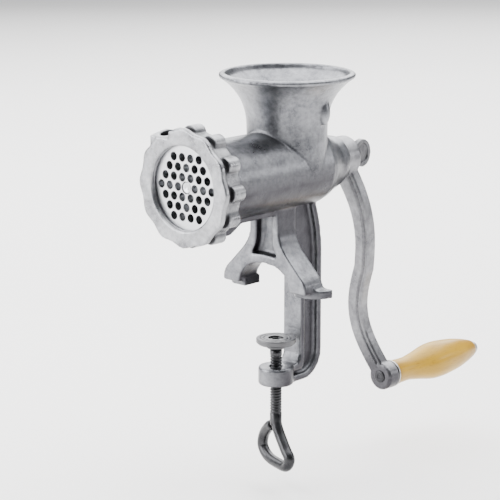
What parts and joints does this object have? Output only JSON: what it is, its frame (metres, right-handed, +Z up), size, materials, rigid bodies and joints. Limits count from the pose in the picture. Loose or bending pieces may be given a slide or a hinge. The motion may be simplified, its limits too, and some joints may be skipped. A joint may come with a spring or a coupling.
{
  "type": "hand crank meat grinder",
  "caption": "Hand-cranked meat grinder with a round hopper, horizontal barrel, feed screw, knife, perforated plate, ring nut, wooden crank grip and a table clamp.",
  "frame": {"origin": "on the plane of the foot soles, midway between the feet, on the axis of the clamp screw", "axes": "+Z up; the outlet faces -Y and the crank is at +Y; the barrel's axis is along Y"},
  "size_m": [0.093, 0.3009, 0.2812],
  "materials": {
    "cast_body": "tinned cast iron, satin bright",
    "cast_ring": "tinned cast iron, pale satin",
    "cast_crank": "tinned cast iron, satin",
    "tool_steel": "ground steel",
    "bright_steel": "bright zinc plated",
    "dark_steel": "dark oiled steel",
    "bush_brass": "machined bronze",
    "fibre": "red-brown vulcanised fibre",
    "varnished_wood": "golden varnished beech"
  },
  "bodies": {
    "casting": {"body_casting": "cast_body", "plate_key": "tool_steel", "rear_bush": "bush_brass", "thrust_washer": "fibre"},
    "rotor": {"feed_screw": "cast_body", "knife_stud": "tool_steel", "knife": "tool_steel", "crank_arm": "cast_crank", "grip_spindle": "dark_steel", "grip_washer_inner": "bright_steel", "grip_washer_outer": "bright_steel"},
    "grip": {"grip": "varnished_wood"},
    "plate": {"perforated_plate": "tool_steel"},
    "ring": {"ring_nut": "cast_ring"},
    "pad": {"clamp_pad": "dark_steel"},
    "clamp_screw": {"clamp_screw": "dark_steel", "pad_retainer": "dark_steel"},
    "washer": {"crank_washer": "bright_steel"},
    "thumb_screw": {"thumb_screw": "cast_crank"}
  },
  "joints": [
    {"name": "crank_turn", "type": "hinge", "parent": "casting", "child": "rotor", "pos_m": [0, 0.068, 0.085], "axis": [0, 1, 0], "continuous": true},
    {"name": "grip_spin", "type": "hinge", "parent": "rotor", "child": "grip", "pos_m": [0.01589, 0.15, -0.08], "axis": [0, 1, 0], "continuous": true},
    {"name": "plate_travel", "type": "slide", "parent": "casting", "child": "plate", "axis": [0, -1, 0], "range_m": [0, 0.0076]},
    {"name": "ring_nut_turn", "type": "hinge", "parent": "plate", "child": "ring", "pos_m": [0, -0.084, 0.085], "axis": [0, -1, 0], "range_deg": [0, 1080]},
    {"name": "clamp_pad_travel", "type": "slide", "parent": "casting", "child": "pad", "axis": [0, 0, 1], "range_m": [-0.0111, 0.0251]},
    {"name": "clamp_screw_turn", "type": "hinge", "parent": "pad", "child": "clamp_screw", "pos_m": [0, 0, -0.07], "axis": [0, 0, 1], "range_deg": [-1980, 4500]},
    {"name": "crank_washer_travel", "type": "slide", "parent": "rotor", "child": "washer", "axis": [0, 1, 0], "range_m": [0, 0.0121]},
    {"name": "thumb_screw_turn", "type": "hinge", "parent": "washer", "child": "thumb_screw", "pos_m": [0, 0.09, 0.085], "axis": [0, 1, 0], "range_deg": [0, 4320]}
  ],
  "couplings": [
    {"joint": "plate_travel", "follows": "ring_nut_turn", "m_per_rad": 0.00039789},
    {"joint": "clamp_pad_travel", "follows": "clamp_screw_turn", "m_per_rad": 0.00031831},
    {"joint": "crank_washer_travel", "follows": "thumb_screw_turn", "m_per_rad": 0.00015915}
  ]
}
